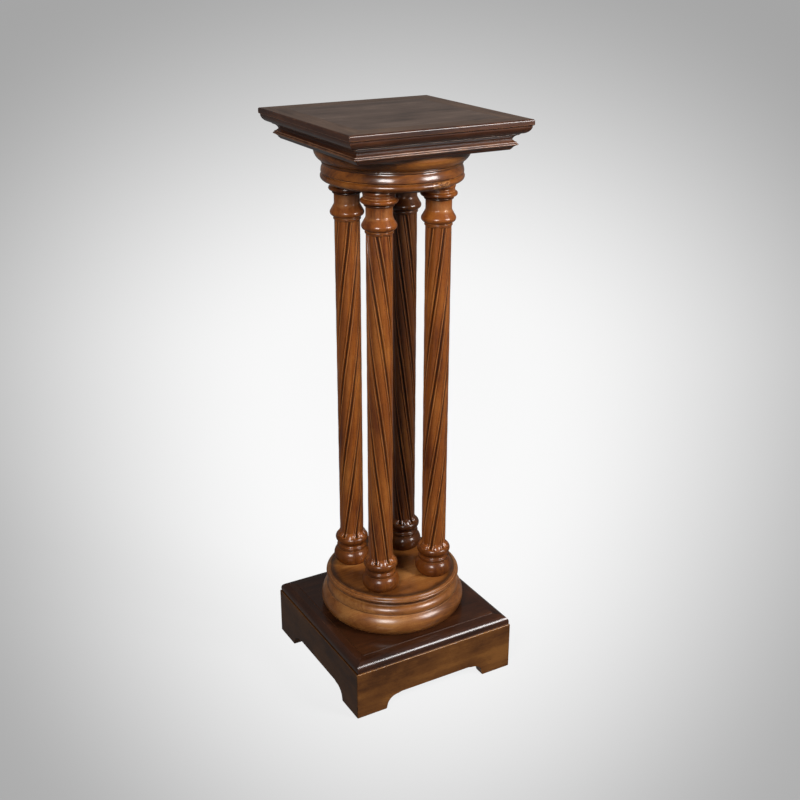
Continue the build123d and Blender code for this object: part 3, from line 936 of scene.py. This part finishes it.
mitred_frame("crossband", np.array([
    (FIELD_HALF + 0.1, VENEER_BED),
    (LIP_INNER - 0.05, VENEER_BED),
    (LIP_INNER - 0.05, HEIGHT - 0.1),
    (LIP_INNER - 0.15, HEIGHT),
    (FIELD_HALF + 0.2, HEIGHT),
    (FIELD_HALF + 0.1, HEIGHT - 0.1),
]), CROSSBAND_VENEER, "crossband_veneer", seed=61)

# ---------------------------------------------------------------- aprons with bracket feet
FOOT_INNER = 104.5
FOOT_STEP = 102.5
FOOT_TOE = 9.0
ARCH_SHOULDER = (80.0, 25.0)
ARCH_FLAT = (73.0, 27.0)
EASE = 0.9                  # rounding of the apron's edges
CORNER_EASE = 0.3           # and of its upright corners


def arch_line():
    """The lower edge of an apron, from the corner to the middle, as (x, z)."""
    outline = profile(
        (BASE_HALF, 0.0),
        (FOOT_INNER, 0.0),
        (FOOT_STEP, FOOT_TOE),
        ((95.0, 20.0), ARCH_SHOULDER),
        ARCH_FLAT,
        (0.0, ARCH_FLAT[1]),
    )
    return resample(soften(outline, 0.5), 1.6)


def apron(side, degrees, material, seed):
    """One mitred apron, lofted along its length from closed sections whose lower edge follows the arch."""
    right = arch_line()
    right[0] = (BASE_HALF, 0.0)
    right[-1, 0] = 0.0
    right[:, 1] = np.clip(right[:, 1], 0, None)
    left = right[:-1] * (-1, 1)
    lower = np.concatenate([left, right[::-1]])
    share = np.linspace(0, 1, 14)
    bend_steps = np.linspace(0, math.pi / 2, 6)
    sections = []
    for x, z in lower:
        front = [(-BASE_HALF, z + EASE + (APRON_TOP - z - 2 * EASE) * t) for t in share]
        arris = [(
            -BASE_HALF + EASE - EASE * math.cos(b),
            APRON_TOP - EASE + EASE * math.sin(b),
        ) for b in bend_steps[1:]]
        back = [(-APRON_INNER, APRON_TOP - (APRON_TOP - z) * t) for t in share]
        toe = [(
            -BASE_HALF + EASE - EASE * math.sin(b),
            z + EASE - EASE * math.cos(b),
        ) for b in bend_steps[1:-1]]
        sections.append([(x, y, level) for y, level in front + arris + back + toe])
    grid = np.array(sections)
    depth = -grid[..., 1:2]
    x = grid[..., :1]
    outside = np.clip(abs(x) - FOOT_INNER, 0, None) / (BASE_HALF - FOOT_INNER)
    mitred = FOOT_INNER + outside * (depth - FOOT_INNER - MITRE_GAP)
    stretched = np.where(abs(x) > FOOT_INNER, mitred, abs(x))
    corner = np.clip((abs(x) - BASE_HALF + EASE) / EASE, 0, 1)
    grid[..., 0:1] = np.sign(x) * stretched
    grid[..., 1:2] += np.where(depth > APRON_INNER + 1, CORNER_EASE * corner**2, 0)
    grain = "x" if side in ("front", "back") else "y"
    swept(f"apron_{side}", turn_grid(grid, degrees), material, "apron_walnut", seed, grain)


for number, (side, degrees) in enumerate(SIDE_TURNS.items()):
    # the left and back aprons get the darker copy: painted shade
    board = APRON_WALNUT if side in ("front", "right") else SHADED_APRON_WALNUT
    apron(side, degrees, board, seed=71 + number)


# ---------------------------------------------------------------- CAD nodes that keep their mesh
def refinish(node, material):
    """Puts a finished material on a CAD node, in every slot."""
    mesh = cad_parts[node].data
    if not mesh.materials:
        mesh.materials.append(material)
    for index in range(len(mesh.materials)):
        mesh.materials[index] = material


refinish("base_panel", BASE_PANEL_WALNUT)
refinish("top_field_veneer", FIELD_VENEER)
refinish("top_core", raw_timber("top_core_timber", "x", (0.3, 1.1, 0.2)))
refinish("sub_top", raw_timber("sub_top_timber", "y", (1.7, 0.6, 0.9)))
for number, node in enumerate(sorted(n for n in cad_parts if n.startswith("corner_block"))):
    refinish(node, raw_timber(node + "_timber", "z", (0.37 * number, 1.2, 0.8)))
steel = screw_steel()
for node in (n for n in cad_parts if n.endswith("_screws")):
    refinish(node, steel)

# ---------------------------------------------------------------- floor, light and camera
# This pool of light is painted into the floor's own glow, laid out from the camera's place, in the camera's
# perspective, so it is right in that one view only. An evenly pale floor should take its place.
POOL_START = (-0.94, -1.66, 0)      # on the ground below the camera
POOL_TURN = math.radians(-30)       # the way the camera faces
POOL_FAN = 0.548                    # half-width of the pool for each metre from its start
POOL_CENTRE = 0.3                   # one over the distance, in metres, to the brightest place
POOL_NEAR_SPAN = 0.653              # how much one over the distance changes out to the near dim edge
POOL_FAR_SPAN = 0.315               # and out to the far one
POOL_GLOW = 0.55
FLOOR_GLOW = 0.37
FLOOR_REACH = 80.0                  # metres, so that its edge is out of sight


def backdrop():
    """A pale floor that glows, with a painted pool of light in its glow, laid out from the camera's place.
    """
    mesh = bpy.data.meshes.new("floor_shape")
    corners = [(x * FLOOR_REACH, y * FLOOR_REACH, 0) for x, y in ((-1, -1), (1, -1), (1, 1), (-1, 1))]
    mesh.from_pydata(corners, [], [(0, 1, 2, 3)])
    floor = bpy.data.objects.new("floor", mesh)
    bpy.context.scene.collection.objects.link(floor)
    nodes = Nodes("pale_floor")
    position = nodes.add("ShaderNodeTexCoord", {}, "Object")
    speckle = nodes.noise(position, 3.0, 3.0, 0.5)
    colour = nodes.mix(speckle, srgb(70, 70, 71), srgb(74, 74, 74))
    from_start = nodes.add(
        "ShaderNodeMapping",
        {"Vector": position, "Location": POOL_START, "Rotation": (0, 0, POOL_TURN)}, vector_type="TEXTURE",
    )
    split = nodes.add("ShaderNodeSeparateXYZ", {0: from_start}, 0).node
    ahead = nodes.math("MAXIMUM", split.outputs["Y"], 0.2)
    aside = nodes.math("DIVIDE", split.outputs["X"], ahead)
    nearer = nodes.math("SUBTRACT", nodes.math("DIVIDE", 1.0, ahead), POOL_CENTRE)
    near_share = nodes.math("DIVIDE", nearer, POOL_NEAR_SPAN)
    far_share = nodes.math("DIVIDE", nearer, -POOL_FAR_SPAN)
    place = nodes.add("ShaderNodeCombineXYZ", {
        "X": nodes.math("DIVIDE", aside, POOL_FAN),
        "Y": nodes.math("MAXIMUM", near_share, far_share),
    })
    from_centre = nodes.vector("LENGTH", place, output="Value")
    # painted pool of light: the floor glows brighter round the plinth, though it is no lamp
    glow = nodes.math("MULTIPLY_ADD", nodes.ramp(from_centre, 1.0, 0.2), POOL_GLOW, FLOOR_GLOW)
    for socket, value in (
        ("Base Color", colour), ("Roughness", 0.9), ("Specular IOR Level", 0.1),
        ("Emission Color", srgb(255, 255, 255)), ("Emission Strength", glow),
    ):
        nodes.set(nodes.shader.inputs[socket], value)
    mesh.materials.append(nodes.material)
    return floor


LAMP_TARGET = Vector((0, 0, 0.7))
LAMP_DISTANCE = 2.6


def softbox(name, azimuth, elevation, size, power, seen_in):
    """A soft rectangular lamp, seen in diffuse colour or in gloss.

    Azimuth is measured anticlockwise from +X, seen from above.
    """
    lamp = bpy.data.lights.new(name, "AREA")
    lamp.shape = "RECTANGLE"
    lamp.size, lamp.size_y = size
    lamp.energy = power
    holder = bpy.data.objects.new(name, lamp)
    bpy.context.scene.collection.objects.link(holder)
    a, e = math.radians(azimuth), math.radians(elevation)
    away = Vector((math.cos(a) * math.cos(e), math.sin(a) * math.cos(e), math.sin(e)))
    holder.location = LAMP_TARGET + LAMP_DISTANCE * away
    holder.rotation_euler = away.to_track_quat("Z", "Y").to_euler()
    holder.visible_diffuse = seen_in == "colour"
    holder.visible_glossy = seen_in == "gloss"


floor = backdrop()
floor.visible_diffuse = False
floor.visible_glossy = False
softbox("left_key", -137, 30, (0.7, 0.9), 37, "colour")
softbox("right_key", -56, 30, (0.7, 0.9), 54, "colour")
softbox("left_softbox", -130, 18, (0.9, 0.95), 82, "gloss")
softbox("right_softbox", -57, 18, (1.0, 0.95), 90, "gloss")

FILL = 0.03                 # light from the pale walls all round
WALLS_SEEN = 0.36           # how bright the walls look behind the floor
WALLS_IN_POLISH = 0.12      # how bright the walls look in a polished surface
world = bpy.data.worlds.new("studio")
world.use_nodes = True
background = world.node_tree.nodes["Background"]
background.inputs["Color"].default_value = (1, 1, 1, 1)
ray = world.node_tree.nodes.new("ShaderNodeLightPath")


def brighter_for(kind, share, rest):
    """World strength: the rest, a number or a socket, and a share more for one kind of ray."""
    total = world.node_tree.nodes.new("ShaderNodeMath")
    total.operation = "MULTIPLY_ADD"
    total.inputs[1].default_value = share
    world.node_tree.links.new(ray.outputs[kind], total.inputs[0])
    if isinstance(rest, bpy.types.NodeSocket):
        world.node_tree.links.new(rest, total.inputs[2])
    else:
        total.inputs[2].default_value = rest
    return total.outputs[0]


in_polish = brighter_for("Is Glossy Ray", WALLS_IN_POLISH, FILL)
world.node_tree.links.new(
    brighter_for("Is Camera Ray", WALLS_SEEN, in_polish), background.inputs["Strength"])
bpy.context.scene.world = world
bpy.context.scene.view_settings.view_transform = "Standard"

CAMERA_AZIMUTH = math.radians(-29.96)
CAMERA_ELEVATION = math.radians(22.40)
CAMERA_ROLL = math.radians(0.173)
CAMERA_PLACE = (-0.9413, -1.6610, 1.3175)
camera_data = bpy.data.cameras.new("camera")
camera_data.sensor_width = 36.0
camera_data.lens = 51.29
camera = bpy.data.objects.new("camera", camera_data)
bpy.context.scene.collection.objects.link(camera)
back = Vector((
    math.sin(CAMERA_AZIMUTH) * math.cos(CAMERA_ELEVATION),
    -math.cos(CAMERA_AZIMUTH) * math.cos(CAMERA_ELEVATION),
    math.sin(CAMERA_ELEVATION),
))
level_right = Vector((math.cos(CAMERA_AZIMUTH), math.sin(CAMERA_AZIMUTH), 0))
level_up = back.cross(level_right)
right = math.cos(CAMERA_ROLL) * level_right + math.sin(CAMERA_ROLL) * level_up
up = math.cos(CAMERA_ROLL) * level_up - math.sin(CAMERA_ROLL) * level_right
turned_to_object = Matrix((right, up, back)).transposed().to_4x4()
camera.matrix_world = Matrix.Translation(CAMERA_PLACE) @ turned_to_object
bpy.context.scene.camera = camera
